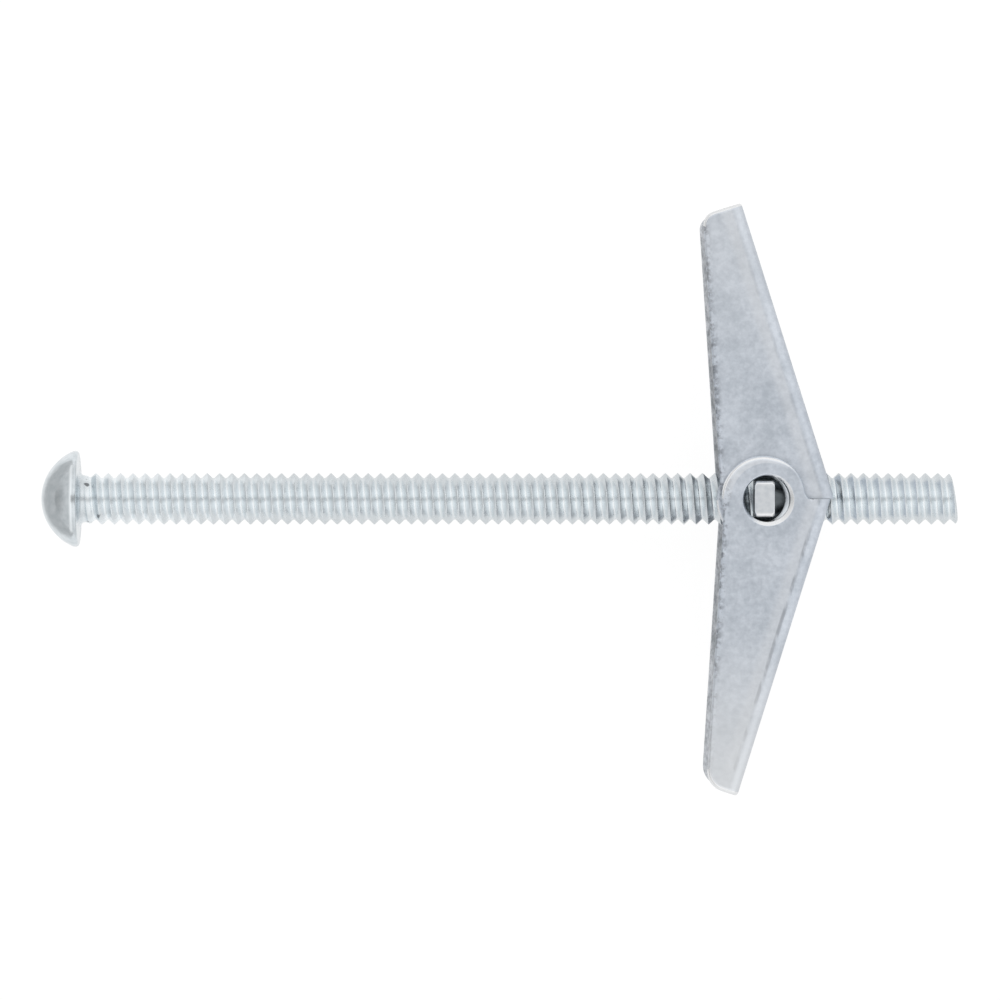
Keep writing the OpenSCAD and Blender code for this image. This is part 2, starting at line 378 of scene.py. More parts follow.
def sheetPlate(name, side, look, marks):
    material, maker, shader = newMaterial(name)
    place = maker.add("ShaderNodeTexCoord", out=3)
    grain = noiseAt(maker, place, look["grainScale"], 4, 0.62)
    cloud = noiseAt(maker, place, look["cloudScale"], 3, 0.6)
    specks = noiseAt(maker, place, look["speckScale"], 5, 0.68)
    spread = rampOf(maker, look["spread"], grain * 0.5 + cloud * 0.5)
    zinc = spread.mixColour(look["dark"], look["pale"])
    # specks in a band just inside the free edge of the flange
    edge = mounts[name + "_edge"]
    outwards = Vector(edge["axis"])
    inside = Vector(edge["pos_m"]).dot(outwards) - dotWith(maker, place, outwards)
    band = between(maker, inside, look["edgeRise"], look["edgeFall"])
    crust = rampOf(maker, look["speckSpread"], specks)
    zinc = mixInto(maker, band * crust * look["speckShare"], zinc, look["speckAndBendShade"])
    # painted shade: a broken dark line where the bend starts, and a painted highlight: a pale band beside it
    toWeb, webOut = webFace(name, side)
    short = webOut - wingSizes["bendRadius"] - dotWith(maker, place, toWeb)
    bendHighlightBand = between(maker, short, look["bendHighlightRise"], look["bendHighlightFall"], look["bendHighlightShare"])
    zinc = mixInto(maker, bendHighlightBand, zinc, look["bendHighlight"])
    drawn = maker.add("ShaderNodeMapping", {}, {"Vector": place, "Scale": look["lineDraw"]})
    breaks = noiseAt(maker, drawn, look["lineScale"], 3, 0.6)
    line = steppedOut(maker, short, look["lineReach"], 1, 0)
    line = line * mapped(maker, breaks, *look["lineBreaks"], 0, marks["line"])
    zinc = mixInto(maker, line, zinc, look["speckAndBendShade"])
    # painted highlight: each wing is paler towards its tip
    along = dotWith(maker, place, (0, side, 0))
    zinc = mixInto(maker, mapped(maker, along, *look["tipFrom"], 0, marks["tip"]), zinc, look["tip"])
    # a dark ring is laid round the hole, and part of the ear's rim is made bright as a painted highlight
    pivot = joints[name + "_fold"]["pos_m"]
    fromPivot = dotWith(maker, place, (1, 0, 0)) - pivot[0]
    fromHole = maker.maths("POWER", fromPivot * fromPivot + along * along, 0.5)
    ring = between(maker, fromHole, look["holeRingRise"], look["holeRingFall"], marks["holeRingDark"])
    zinc = mixInto(maker, ring, zinc, look["holeRingDark"])
    # painted highlight on the side of the ear's rim that faces the light
    past = dotWith(maker, place, wingSizes["earFacing"]) - Vector(pivot).dot(wingSizes["earFacing"])
    paintedGleam = between(maker, fromHole, look["gleamRise"], look["gleamFall"], marks["paintedGleam"])
    paintedGleam = paintedGleam * mapped(maker, past, *wingSizes["earShare"], 0, 1)
    plug(maker, mixInto(maker, paintedGleam, zinc, look["paintedGleam"]), shader.inputs["Base Color"])
    rough = look["rough"] + (grain - 0.5) * look["roughSpread"] + band * look["edgeRough"]
    plug(maker, rough, shader.inputs["Roughness"])
    bumped(maker, shader, grain + specks * band * look["edgeBump"], look["bump"], look["bumpHeight"])
    shader.inputs["Metallic"].default_value = 1
    return material


innerZinc = sheetPlate("inner_wing", 1, sheetLook, innerMarks)
outerZinc = sheetPlate("outer_wing", -1, sheetLook, outerMarks)


# The die rolled the sheet's edge and the hole's rim; there a painted highlight makes the zinc near white, most of
# all on one side and round the tip
rolledLook = {
    "tipFrom": (14 * mm, 20 * mm),
    "least": 0.75,
    "grainShare": 0.5,
    "bright": (0.98, 0.99, 1),
    "rough": 0.42,
    "smoother": 0.2,
}


def rolledZinc(name, look, pivot, towards, reach, tipShare):
    material, maker, shader = newMaterial(name)
    place = maker.add("ShaderNodeTexCoord", out=3)
    grain = noiseAt(maker, place, sheetLook["grainScale"], 3, 0.6)
    facing = Vector(towards).normalized()
    past = dotWith(maker, place, facing) - Vector(pivot).dot(facing)
    across = dotWith(maker, place, (0, 1, 0))
    tip = steppedOut(maker, across, look["tipFrom"], 0, tipShare)
    bright = maker.maths("MAXIMUM", mapped(maker, past, *reach, 0, 1), tip)
    paintedGleam = maker.maths("MINIMUM", bright * (look["least"] + grain * look["grainShare"]), 1)
    plug(maker, paintedGleam.mixColour(sheetLook["dark"], look["bright"]), shader.inputs["Base Color"])
    plug(maker, look["rough"] - paintedGleam * look["smoother"], shader.inputs["Roughness"])
    shader.inputs["Metallic"].default_value = 1
    return material


innerPivot = joints["inner_wing_fold"]["pos_m"]
outerPivot = joints["outer_wing_fold"]["pos_m"]
innerRolled = rolledZinc("innerRolledEdge", rolledLook, innerPivot, (-1, 1, 0), (-0.5 * mm, 2.5 * mm), 0.9)
outerRolled = rolledZinc("outerRolledEdge", rolledLook, outerPivot, (-0.5, 1, 0), (0.3 * mm, 2.6 * mm), 1)
innerRim = rolledZinc("innerHoleRim", rolledLook, innerPivot, (1, -0.5, 0), (-0.8 * mm, 0.6 * mm), 0)
outerRim = rolledZinc("outerHoleRim", rolledLook, outerPivot, (1, -0.4, 0), (-0.9 * mm, 0.4 * mm), 0)


# Sheared edge and inside of the sheet: rough lines on the one, patches on the other
roughLook = {
    "spread": [(0.36, 0), (0.64, 1)],
    "rough": 0.38,
    "roughSpread": 0.3,
    "bump": 0.5,
    "bumpHeight": 0.06 * mm,
}


def roughZinc(name, look, squeeze, scale, dark, pale):
    material, maker, shader = newMaterial(name)
    place = maker.add("ShaderNodeTexCoord", out=3)
    across = maker.add("ShaderNodeMapping", {}, {"Vector": place, "Scale": squeeze})
    lines = noiseAt(maker, across, scale, 4, 0.65)
    spread = rampOf(maker, look["spread"], lines)
    plug(maker, spread.mixColour(dark, pale), shader.inputs["Base Color"])
    plug(maker, look["rough"] + lines * look["roughSpread"], shader.inputs["Roughness"])
    bumped(maker, shader, lines, look["bump"], look["bumpHeight"])
    shader.inputs["Metallic"].default_value = 1
    return material


sheetEdge = roughZinc("shearedEdge", roughLook, (1, 1, 0.22), 3800, (0.24, 0.26, 0.28), (0.6, 0.63, 0.66))
sheetInside = roughZinc("sheetInside", roughLook, (1, 0.6, 1), 1700, (0.5, 0.525, 0.55), (0.95, 0.97, 1))


# Drawn spring wire: a darker steel with a fine grain, made darker still as painted shade for the coil deep in the
# nut's hole
wireLook = {
    "grainScale": 3000,
    "dark": (0.2, 0.22, 0.24),
    "pale": (0.32, 0.34, 0.36),
    "rough": 0.24,
    "roughSpread": 0.16,
}


def drawnWire(look):
    material, maker, shader = newMaterial("drawnWire")
    place = maker.add("ShaderNodeTexCoord", out=3)
    grain = noiseAt(maker, place, look["grainScale"], 3, 0.5)
    plug(maker, grain.mixColour(look["dark"], look["pale"]), shader.inputs["Base Color"])
    plug(maker, look["rough"] + grain * look["roughSpread"], shader.inputs["Roughness"])
    shader.inputs["Metallic"].default_value = 1
    return material


springWire = drawnWire(wireLook)
print("materials made")


def smoothStep(value):
    value = min(max(value, 0), 1)
    return value * value * (3 - 2 * value)


# Turns a bmesh into a smooth-shaded piece with its materials
def makePiece(bm, name, materials):
    mesh = bpy.data.meshes.new(name)
    bm.to_mesh(mesh)
    bm.free()
    for material in materials:
        mesh.materials.append(material)
    for face in mesh.polygons:
        face.use_smooth = True
    piece = bpy.data.objects.new(name, mesh)
    bpy.context.scene.collection.objects.link(piece)
    return piece


def keepFlatsFlat(piece):
    weighted = piece.modifiers.new("flatFaces", "WEIGHTED_NORMAL")
    weighted.mode = "FACE_AREA"
    weighted.weight = 100
    weighted.keep_sharp = True


# Faces that turn less than this from each other count as one flat
flatTurn = radians(0.4)


# Copy of a node's mesh, welded and with its flat faces made whole, but for one straight seam
def weldedCopy(node, seamPlace, seamFacing):
    bm = bmesh.new()
    bm.from_mesh(frame["nodes"][node].data)
    bmesh.ops.remove_doubles(bm, verts=bm.verts, dist=fineWeld)
    cut = bmesh.ops.bisect_plane(
        bm, geom=bm.verts[:] + bm.edges[:] + bm.faces[:], dist=fineWeld, plane_co=seamPlace,
        plane_no=seamFacing
    )["geom_cut"]
    for item in cut:
        if isinstance(item, bmesh.types.BMEdge):
            item.seam = True
    bmesh.ops.dissolve_limit(
        bm, angle_limit=flatTurn, use_dissolve_boundaries=False, verts=bm.verts, edges=bm.edges,
        delimit={"SEAM"}
    )
    bmesh.ops.recalc_face_normals(bm, faces=bm.faces)
    return bm


def breakEdges(bm, edges, width, segments):
    return bmesh.ops.bevel(
        bm, geom=edges, offset=width, offset_type="OFFSET", affect="EDGES", segments=segments,
        profile=0.5, material=-1, clamp_overlap=True, loop_slide=True
    )


# The screw: a rolled thread that runs out below a slotted round head
screwSizes = {
    "pitch": 25.4 * mm / 24,
    "crestRadius": 2.2 * mm,
    "rootRadius": 1.77 * mm,
    "stepsPerTurn": 40,
    "firstCrest": 1.45 * mm,
    "leadTurns": 2.5,
    "neck": 0.5 * mm,
    "neckRadius": 2.0 * mm,
    "runOut": 0.8 * mm,
    "underHead": 0.8 * mm,
    "underSteps": 6,
    "tipRound": 0.3 * mm,
    "tipSlant": radians(7),
    "rimHeight": 0.45 * mm,
    "rimRound": 0.22 * mm,
    "rimSteps": 5,
    "slotWidth": 1.2 * mm,
    "slotDepth": 1.7 * mm,
    "domeRings": 22,
    "cutSnap": 0.0001 * mm,
    "slotSnap": 0.00001 * mm,
    "sharp": radians(38),
}


def threadOutline(sizes):
    # half a turn of the thread, as shares of the pitch and of its depth, then the same mirrored
    rise = [(0, 0), (0.05, 0.02), (0.1, 0.1), (0.15, 0.22), (0.44, 0.9), (0.48, 0.98), (0.5, 1)]
    fall = [(1 - along, up) for along, up in reversed(rise[:-1])]
    depth = sizes["crestRadius"] - sizes["rootRadius"]
    return [(along * sizes["pitch"], sizes["rootRadius"] + up * depth) for along, up in rise + fall]


def headStations(sizes, headRadius, headHeight):
    # from the neck outwards under the seat, round the rim and over the dome to its top
    stations = []
    for step in range(1, sizes["underSteps"] + 1):
        turn = pi / 2 * step / sizes["underSteps"]
        grown = sizes["underHead"] * (1 - cos(turn))
        stations.append((sizes["neck"] * (1 - sin(turn)), sizes["neckRadius"] + grown))
    rim = sizes["rimRound"]
    for step in range(sizes["rimSteps"] + 1):
        turn = pi / 2 * step / sizes["rimSteps"]
        stations.append((-rim * (1 - cos(turn)), headRadius - rim * (1 - sin(turn))))
    capHeight = headHeight - sizes["rimHeight"]
    domeRadius = (headRadius ** 2 + capHeight ** 2) / (2 * capHeight)
    rimAngle = asin(headRadius / domeRadius)
    for ring in range(sizes["domeRings"]):
        turn = rimAngle * (1 - ring / sizes["domeRings"])
        stations.append((-headHeight + domeRadius * (1 - cos(turn)), domeRadius * sin(turn)))
    return stations


def makeThread(bm, sizes, length):
    start = sizes["firstCrest"] - sizes["leadTurns"] * sizes["pitch"]
    chain = [bm.verts.new((start + along, radius, 0)) for along, radius in threadOutline(sizes)]
    for first, second in zip(chain, chain[1:]):
        bm.edges.new((first, second))
    bmesh.ops.spin(
        bm, geom=bm.verts[:] + bm.edges[:], cent=(0, 0, 0), axis=(1, 0, 0),
        dvec=(sizes["pitch"] / sizes["stepsPerTurn"], 0, 0), angle=2 * pi, steps=sizes["stepsPerTurn"],
        use_merge=False
    )
    oneTurn = bm.verts[:] + bm.edges[:] + bm.faces[:]
    for turn in range(1, ceil((length - start) / sizes["pitch"]) + 1):
        copied = bmesh.ops.duplicate(bm, geom=oneTurn)["geom"]
        verts = [item for item in copied if isinstance(item, bmesh.types.BMVert)]
        bmesh.ops.translate(bm, vec=(turn * sizes["pitch"], 0, 0), verts=verts)
    bmesh.ops.remove_doubles(bm, verts=bm.verts, dist=weld)
    # the neck is cut square and the tip a little aslant, as a shear leaves it
    slant = sizes["tipSlant"]
    tip = (length - sizes["crestRadius"] * sin(slant), 0, 0)
    for place, facing in (((sizes["neck"], 0, 0), (-1, 0, 0)), (tip, (cos(slant), sin(slant), 0))):
        bmesh.ops.bisect_plane(
            bm, geom=bm.verts[:] + bm.edges[:] + bm.faces[:], dist=sizes["cutSnap"], plane_co=place,
            plane_no=facing, clear_outer=True
        )
    for vert in bm.verts:
        radius = hypot(vert.co.y, vert.co.z)
        share = smoothStep((vert.co.x - sizes["neck"]) / sizes["runOut"])
        wanted = sizes["neckRadius"] + (radius - sizes["neckRadius"]) * share
        left = max(tip[0] - vert.co.y * sin(slant) - vert.co.x, 0)
        rounded = max(sizes["tipRound"] - left, 0)
        wanted = min(wanted, sizes["crestRadius"] - rounded * rounded / sizes["tipRound"])
        vert.co.y *= wanted / radius
        vert.co.z *= wanted / radius


# Opens the driver slot across the dome and gives it walls and a floor
def cutSlot(bm, sizes, apex):
    half = sizes["slotWidth"] / 2
    depth = apex + sizes["slotDepth"]
    near = weld

    def cutAt(place, facing, limit):
        faces = [face for face in bm.faces if face.calc_center_median().x < limit]
        edges = {edge for face in faces for edge in face.edges}
        verts = {vert for face in faces for vert in face.verts}
        bmesh.ops.bisect_plane(
            bm, geom=list(verts) + list(edges) + faces, dist=sizes["slotSnap"], plane_co=place,
            plane_no=facing
        )

    cutAt((depth, 0, 0), (1, 0, 0), -near)
    cutAt((0, 0, half), (0, 0, 1), depth)
    cutAt((0, 0, -half), (0, 0, 1), depth)
    middles = [(face, face.calc_center_median()) for face in bm.faces]
    inside = [face for face, middle in middles if middle.x < depth and abs(middle.z) < half]
    bmesh.ops.delete(bm, geom=inside, context="FACES")
    opened = [edge for edge in bm.edges if edge.is_boundary and edge.verts[0].co.x < depth + near]
    floor = [edge for edge in opened if all(abs(vert.co.x - depth) < near for vert in edge.verts)]
    for side in (-half, half):
        wall = [edge for edge in opened if all(abs(vert.co.z - side) < near for vert in edge.verts)]
        ends = {vert for edge in wall for vert in edge.verts if abs(vert.co.x - depth) < near}
        corner = bm.edges.new(tuple(ends))
        bmesh.ops.contextual_create(bm, geom=wall + [corner])
        floor.append(corner)
    bmesh.ops.contextual_create(bm, geom=floor)


def makeScrew(sizes):
    low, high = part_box("screw")
    headRadius = high.z
    headHeight = -low.x
    bm = bmesh.new()
    makeThread(bm, sizes, high.x)
    openEdges = [edge for edge in bm.edges if edge.is_boundary]
    tipLoop = [edge for edge in openEdges if edge.verts[0].co.x > high.x / 2]
    loop = [edge for edge in openEdges if edge.verts[0].co.x < high.x / 2]
    bmesh.ops.contextual_create(bm, geom=tipLoop)
    # the head grows out of the neck, ring by ring
    for along, radius in headStations(sizes, headRadius, headHeight):
        grown = bmesh.ops.extrude_edge_only(bm, edges=loop)["geom"]
        loop = [item for item in grown if isinstance(item, bmesh.types.BMEdge)]
        for vert in {vert for edge in loop for vert in edge.verts}:
            scale = radius / hypot(vert.co.y, vert.co.z)
            vert.co = (along, vert.co.y * scale, vert.co.z * scale)
    bmesh.ops.contextual_create(bm, geom=loop)
    cutSlot(bm, sizes, low.x)
    bmesh.ops.recalc_face_normals(bm, faces=bm.faces)
    piece = makePiece(bm, "threadedScrew", [screwZinc])
    piece.data.set_sharp_from_angle(angle=sizes["sharp"])
    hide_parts("screw")
    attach(piece, "screw")


makeScrew(screwSizes)
print("screw made")


# Makes the die-rolled edge wider on the side of a middle point that faces one way
def widenRoll(bm, sizes, width, middle, facing, share, inside, skinDepth):
    roll = sizes["dieRoll"]
    wider = width / roll - 1
    start, full = share
    for vert in bm.verts:
        depth = max(skinDepth(vert.co), 0)
        reach = (vert.co - middle) * Vector((1, 1, 0))
        if depth < roll * sizes["rollSlack"] and reach.length > inside:
            grown = smoothStep((reach.dot(facing) - start) / (full - start)) * wider
            inward = roll * (1 - sin(acos(max(1 - depth / roll, 0))))
            vert.co -= reach.normalized() * inward * grown
            vert.co.z -= copysign(depth * grown, vert.co.z)


# The wings: bent from sheet, with die-rolled outer edges and sharp sheared inner ones
def makeWing(node, side, sizes, earRoll, tipRoll, zinc, rolled, rim):
    pivot = Vector(joints[node + "_fold"]["pos_m"])
    seamTurn = sizes["lean"] - sizes["seamTilt"]
    bm = weldedCopy(node, pivot, (cos(seamTurn), side * sin(seamTurn), 0))
    bmesh.ops.remove_doubles(bm, verts=bm.verts, dist=sizes["sliver"])
    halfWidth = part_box(node)[1].z
    toWeb, webOut = webFace(node, side)
    # the webs' sheared ends all but touch as they stop each other
    for vert in bm.verts:
        if abs(vert.co.y - side * sizes["stopGap"]) < sizes["near"]:
            vert.co.y = side * sizes["stopLeft"]

    # how far a point lies below the channel's outer skin
    def skinDepth(point):
        past = abs(point.z) - (halfWidth - sizes["bendRadius"])
        over = point.dot(toWeb) - (webOut - sizes["bendRadius"])
        if past > 0 and over > 0:
            return sizes["bendRadius"] - hypot(past, over)
        return min(halfWidth - abs(point.z), webOut - point.dot(toWeb))

    # the bend's own long faces, whose facets lie a little below the true skin
    def onBend(face, middle):
        past = abs(middle.z) - (halfWidth - sizes["bendRadius"])
        over = middle.dot(toWeb) - (webOut - sizes["bendRadius"])
        return past > 0 and over > 0 and abs(face.normal.dot(along)) < sizes["bendFacing"]

    def edgesAt(depth):
        return [
            edge for edge in bm.edges
            if len(edge.link_faces) == 2 and edge.calc_face_angle() > sizes["sharp"]
            and all(abs(skinDepth(vert.co) - depth) < sizes["near"] for vert in edge.verts)
        ]

    roll = sizes["dieRoll"]
    breakEdges(bm, edgesAt(0), roll, sizes["rollSteps"])
    # where the webs stop each other the edges stay sharper
    for vert in bm.verts:
        fromStop = side * vert.co.y - sizes["stopLeft"]
        pastEar = smoothStep((vert.co.x - pivot.x - sizes["stopFrom"]) / sizes["stopFade"])
        if 0 < fromStop < sizes["stopReach"] * roll:
            vert.co.y -= side * fromStop * pastEar * sizes["stopSharp"]
    breakEdges(bm, edgesAt(sizes["sheet"]), sizes["burr"], sizes["burrSteps"])
    leastTurn, mostTurn = sizes["holeTurn"]
    holeEdges = [
        edge for edge in bm.edges
        if len(edge.link_faces) == 2 and leastTurn < edge.calc_face_angle() < mostTurn
        and all((vert.co - pivot).xy.length < sizes["holeReach"] for vert in edge.verts)
    ]
    breakEdges(bm, holeEdges, sizes["holeRound"], sizes["holeSteps"])
    bmesh.ops.remove_doubles(bm, verts=bm.verts, dist=weld)
    # the punch came in aslant, so each hole's rolled rim is wider on one side
    for vert in bm.verts:
        out = (vert.co - pivot).xy.length - sizes["holeRadius"]
        if out < sizes["holeReach"] - sizes["holeRadius"]:
            vert.co += sizes["rimShift"] * smoothStep(out / sizes["rimFade"])
    along = Vector((-sin(sizes["lean"]), side * cos(sizes["lean"]), 0))
    tipEnd = max(vert.co.dot(along) for vert in bm.verts)
    freeEdge = mounts[node + "_edge"]
    materials = [zinc, sheetEdge, sheetInside, rolled, rim]
    for face in bm.faces:
        middle = face.calc_center_median()
        depth = skinDepth(middle)
        toEdge = (Vector(freeEdge["pos_m"]) - middle).dot(Vector(freeEdge["axis"]))
        byEdge = side * middle.y > 0 and toEdge < sizes["edgeReach"] * roll
        onFreeEdge = byEdge and tipEnd - middle.dot(along) > sizes["tipCorner"]
        metal = zinc
        if depth > sizes["sheet"] - sizes["near"]:
            metal = sheetInside
        elif depth > sizes["near"] / 2 and (middle - pivot).xy.length < sizes["holeReach"]:
            metal = rim
        elif depth > sizes["shearFrom"] * roll:
            metal = sheetEdge
        elif depth > sizes["near"] / 2 and not onFreeEdge and not onBend(face, middle):
            metal = rolled
        face.material_index = materials.index(metal)
    if earRoll > roll:
        widenRoll(
            bm, sizes, earRoll, pivot, sizes["earFacing"], sizes["earShare"], sizes["earInside"], skinDepth
        )
    # round the tip the roll is wide too, measured from a point a little short of it
    ends = [vert.co.dot(toWeb) for vert in bm.verts if vert.co.dot(along) > tipEnd - sizes["tipNear"]]
    tipMiddle = toWeb * (min(ends) + max(ends)) / 2 + along * (tipEnd - sizes["tipInset"])
    widenRoll(bm, sizes, tipRoll, tipMiddle, along, sizes["tipShare"], sizes["tipInside"], skinDepth)
    piece = makePiece(bm, node.replace("_wing", "WingSheet"), materials)
    keepFlatsFlat(piece)
    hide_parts(node)
    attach(piece, node)


makeWing("inner_wing", 1, wingSizes, 0, 0.4 * mm, innerZinc, innerRolled, innerRim)
makeWing("outer_wing", -1, wingSizes, 0.48 * mm, 0.52 * mm, outerZinc, outerRolled, outerRim)
print("wings made")


# The nut: pressed plate with its edges broken and its tabs' corners rounded
nutSizes = {
    "edge": 0.1 * mm,
    "edgeSteps": 3,
    "sharp": radians(40),
    "upright": 0.6,
    "tabHeight": 3.05 * mm,
    "tabChamfer": 0.22 * mm,
    "tabCorner": 0.4 * mm,
    "cornerSteps": 4,
    "corner": 0.13 * mm,
    "shoulder": 2.85 * mm,
    "near": 0.01 * mm,
}


def makeNut(sizes):
    bm = weldedCopy("trunnion_nut", (0, 0, 0), (0, 1, 0))
    low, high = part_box("trunnion_nut")
    pivot = innerPivot[0] / 2 + outerPivot[0] / 2
    halfTab = sizes["tabHeight"] / 2
    halfPlate = pivot - low.x
    # the tabs' four long corners are made square first, then rounded as the press leaves them
    chamferZ = high.z - sizes["tabChamfer"]
    for vert in bm.verts:
        fromSide = halfPlate - abs(vert.co.x - pivot)
        fromEnd = halfTab - abs(vert.co.y)
        onTab = abs(vert.co.z) > sizes["shoulder"] and abs(vert.co.z) < high.z - sizes["tabChamfer"] / 2
        if onTab and fromSide < sizes["corner"] and -sizes["near"] < fromEnd < sizes["corner"]:
            vert.co.x = pivot + copysign(halfPlate, vert.co.x - pivot)
            vert.co.y = copysign(halfTab, vert.co.y)
            if abs(vert.co.z) > chamferZ:
                vert.co.z = copysign(chamferZ, vert.co.z)
    bmesh.ops.remove_doubles(bm, verts=bm.verts, dist=weld)
    tabSide = halfTab - sizes["tabChamfer"] - sizes["near"]

    def sharpEdges():
        return [
            edge for edge in bm.edges
            if len(edge.link_faces) == 2 and edge.calc_face_angle() > sizes["sharp"]
        ]

    upright = [
        edge for edge in sharpEdges()
        if abs((edge.verts[0].co - edge.verts[1].co).normalized().z) > sizes["upright"]
        and all(abs(vert.co.z) > sizes["shoulder"] and abs(vert.co.y) > tabSide for vert in edge.verts)
    ]
    breakEdges(bm, upright, sizes["tabCorner"], sizes["cornerSteps"])
    breakEdges(bm, sharpEdges(), sizes["edge"], sizes["edgeSteps"])
    piece = makePiece(bm, "pressedNut", [nutZinc])
    keepFlatsFlat(piece)
    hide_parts("trunnion_nut")
    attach(piece, "toggle_nut")


makeNut(nutSizes)
print("nut made")


# The spring: a coil on each tab, a bridge that pushes the inner wing and two legs that push the outer one
springSizes = {
    "wire": 0.6 * mm,
    "turnGap": 0.05 * mm,
    "bridgeBend": 1.2 * mm,
    "sides": 16,
    "halfCoilSteps": 28,
    "bendSteps": 10,
}


def drawLoop(bm, loop, move):
    grown = bmesh.ops.extrude_edge_only(bm, edges=loop)["geom"]
    verts = [item for item in grown if isinstance(item, bmesh.types.BMVert)]
    bmesh.ops.translate(bm, vec=move, verts=verts)
    return [item for item in grown if isinstance(item, bmesh.types.BMEdge)]


def spinLoop(bm, loop, centre, axis, angle, steps, lift=(0, 0, 0)):
    verts = list({vert for edge in loop for vert in edge.verts})
    spun = bmesh.ops.spin(
        bm, geom=verts + loop, cent=centre, axis=axis, dvec=Vector(lift) / steps, angle=angle, steps=steps,
        use_merge=False
    )
    return [item for item in spun["geom_last"] if isinstance(item, bmesh.types.BMEdge)]


def wireEnd(bm, sizes, place, facing):
    turn = Vector((0, 0, 1)).rotation_difference(Vector(facing)).to_matrix().to_4x4()
    ring = bmesh.ops.create_circle(
        bm, cap_ends=False, segments=sizes["sides"], radius=sizes["wire"] / 2,
        matrix=Matrix.Translation(place) @ turn
    )["verts"]
    return list({edge for vert in ring for edge in vert.link_edges})


def bothSides(bm):
    copied = bmesh.ops.duplicate(bm, geom=bm.verts[:] + bm.edges[:] + bm.faces[:])["geom"]
    verts = [item for item in copied if isinstance(item, bmesh.types.BMVert)]
    bmesh.ops.scale(bm, vec=(1, 1, -1), verts=verts)
    bmesh.ops.remove_doubles(bm, verts=bm.verts, dist=weld)
    bmesh.ops.holes_fill(bm, edges=[edge for edge in bm.edges if edge.is_boundary], sides=0)
    bmesh.ops.recalc_face_normals(bm, faces=bm.faces)


def makeSpring(sizes):
    low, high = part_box("spring")
    wire = sizes["wire"]
    middle = Vector(((low.x + high.x) / 2, 0, 0))
    coil = (high.x - low.x - wire) / 2
    outZ = high.z - wire / 2
    inZ = outZ - wire - sizes["turnGap"]
    midZ = (outZ + inZ) / 2
    bend = sizes["bridgeBend"]
    bridgeY = high.y - wire / 2
    leftSide = middle + Vector((-coil, 0, 0))
    rightSide = middle + Vector((coil, 0, 0))

    # coil's near half, one upright leg, a bend and half the bridge, then the same on the far side
    bm = bmesh.new()
    loop = wireEnd(bm, sizes, leftSide + Vector((0, 0, midZ)), (0, 1, 0))
    loop = spinLoop(bm, loop, middle, (0, 0, 1), pi, sizes["halfCoilSteps"], (0, 0, inZ - midZ))
    loop = drawLoop(bm, loop, (0, bridgeY - bend, 0))
    bendMiddle = rightSide + Vector((0, bridgeY - bend, inZ - bend))
    loop = spinLoop(bm, loop, bendMiddle, (1, 0, 0), -pi / 2, sizes["bendSteps"])
    drawLoop(bm, loop, (0, 0, bend - inZ))
    bothSides(bm)
    bridge = makePiece(bm, "springBridge", [springWire])
    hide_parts("spring")
    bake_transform(bridge)

    # coil's other half and the leg that hangs from it, on each side
    bm = bmesh.new()
    loop = wireEnd(bm, sizes, rightSide + Vector((0, low.y, outZ)), (0, 1, 0))
    loop = drawLoop(bm, loop, (0, -low.y, 0))
    spinLoop(bm, loop, middle, (0, 0, 1), pi, sizes["halfCoilSteps"], (0, 0, midZ - outZ))
    bothSides(bm)
    legs = makePiece(bm, "springLegs", [springWire])
    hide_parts("spring")
    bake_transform(legs)


makeSpring(springSizes)
print("spring made")


# Studio: a pale floor, a white surround with greyer walls and a soft lamp
studio = {
    "floorSize": 3.0,
    "floorDrop": 0.02 * mm,
    "floorShade": (0.92, 0.92, 0.92, 1),
    "floorRough": 0.9,
    "seenLevel": 1.05,
    "glowShare": 0.9,
    "reflectedFloorFrom": (-13 * mm, -5 * mm),
    "reflectedFloorLevel": (0.57, 1),
    "shankShadowFrom": (4 * mm, 14 * mm),
    "shankShadowLevel": 0.8,
    "walls": [(0, 0.84), (0.3, 0.84), (0.6, 0.92), (0.85, 1), (1, 1)],
    "gapHalf": 0.2,
    "gapShade": 0.45,
    "gapFrom": (-0.55, -0.3),
    "endWall": [(0.4, 1), (0.62, 0.86), (0.86, 0.82), (1, 0.52)],
    "rightFrom": (0.2, 0.8),
    "rightWall": 1.2,
    "lampPlace": (0.03, 0.5, 0.6),
    "lampAim": (0.04, 0, 0),
    "lampSize": 0.6,
    "lampPower": 0.8,
}


def makeFloor(settings):
    bm = bmesh.new()
    bmesh.ops.create_grid(bm, x_segments=1, y_segments=1, size=settings["floorSize"] / 2)
    bmesh.ops.translate(bm, vec=(0, 0, cadLow.z - settings["floorDrop"]), verts=bm.verts)
    material, maker, shader = newMaterial("paleFloor")
    tree = material.node_tree
    shader.inputs["Base Color"].default_value = settings["floorShade"]
    shader.inputs["Roughness"].default_value = settings["floorRough"]
    rays = tree.nodes.new("ShaderNodeLightPath")
    seen = Socket(tree, rays.outputs["Is Camera Ray"])
    glossy = Socket(tree, rays.outputs["Is Glossy Ray"])
    # for reflections the floor glows, with painted shade: darker beyond the head, and darker along the shank as a
    # painted shadow of the bolt
    place = maker.add("ShaderNodeTexCoord", out=3)
    along = dotWith(maker, place, (1, 0, 0))
    reflectedFloor = mapped(maker, along, *settings["reflectedFloorFrom"], *settings["reflectedFloorLevel"])
    reflectedFloor = reflectedFloor * mapped(maker, along, *settings["shankShadowFrom"], 1, settings["shankShadowLevel"])
    bright = seen * settings["seenLevel"] + (1 - seen) * reflectedFloor
    glow = maker.add("ShaderNodeEmission", {}, {"Color": bright, "Strength": 1})
    share = seen * settings["glowShare"] + glossy * settings["glowShare"]
    mixed = maker.add("ShaderNodeMixShader", {}, {0: share, 1: Socket(tree, shader.outputs[0]), 2: glow})
    plug(maker, mixed, tree.nodes["Material Output"].inputs["Surface"])
    floor = makePiece(bm, "studioFloor", [material])


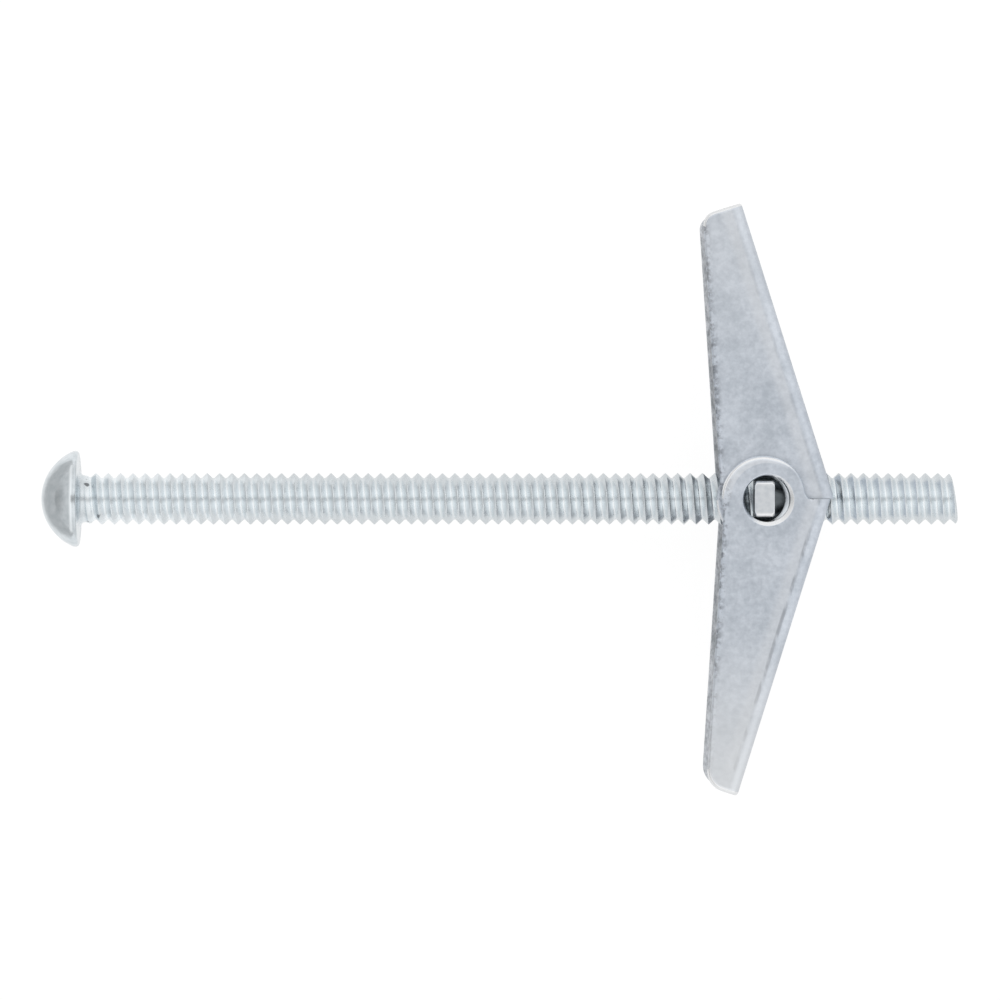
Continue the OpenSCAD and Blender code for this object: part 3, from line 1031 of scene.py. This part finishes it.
def makeSurround(settings):
    world = bpy.data.worlds.new("studioSurround")
    bpy.context.scene.world = world
    world.use_nodes = True
    tree = world.node_tree
    maker = Socket(tree)
    towards = maker.add("ShaderNodeTexCoord")
    height = maker.add("ShaderNodeSeparateXYZ", {}, {0: towards}, out=2)
    walls = rampOf(maker, settings["walls"], height)
    along = dotWith(maker, towards, (1, 0, 0))
    across = dotWith(maker, towards, (0, 1, 0))
    # overhead, a gap between two long bright panels, one on each side of the screw
    gap = steppedOut(maker, across, (0, settings["gapHalf"]), 1 - settings["gapShade"], 0)
    shade = 1 - gap * mapped(maker, along, *settings["gapFrom"], 0, 1)
    endWall = rampOf(maker, settings["endWall"], 0 - along)
    rightWall = mapped(maker, along, *settings["rightFrom"], 1, settings["rightWall"])
    rays = tree.nodes.new("ShaderNodeLightPath")
    seen = Socket(tree, rays.outputs["Is Camera Ray"])
    level = seen + (1 - seen) * (walls * shade * endWall * rightWall)
    plug(maker, level, tree.nodes["Background"].inputs["Color"])
    tree.nodes["Background"].inputs["Strength"].default_value = 1


def makeLamp(settings):
    lamp = bpy.data.lights.new("upperSoftbox", "AREA")
    lamp.shape = "SQUARE"
    lamp.size = settings["lampSize"]
    lamp.energy = settings["lampPower"]
    holder = bpy.data.objects.new("upperSoftbox", lamp)
    place = Vector(settings["lampPlace"])
    holder.location = place
    holder.rotation_euler = (Vector(settings["lampAim"]) - place).to_track_quat("-Z", "Y").to_euler()
    holder.visible_glossy = False
    bpy.context.scene.collection.objects.link(holder)


makeFloor(studio)
makeSurround(studio)
makeLamp(studio)
print("studio made")


# Camera: straight above, at the photograph's distance
camera = {
    "aim": (36.0 * mm, -0.1 * mm),
    "distance": 513 * mm,
    "lens": 216,
    "sensor": 36,
    "clip": (0.01, 20),
}


def makeCamera(settings):
    eye = bpy.data.cameras.new("photoCamera")
    eye.sensor_width = settings["sensor"]
    eye.lens = settings["lens"]
    eye.clip_start, eye.clip_end = settings["clip"]
    holder = bpy.data.objects.new("photoCamera", eye)
    holder.location = (*settings["aim"], settings["distance"])
    bpy.context.scene.collection.objects.link(holder)
    bpy.context.scene.camera = holder


makeCamera(camera)
bpy.context.scene.view_settings.view_transform = "Standard"
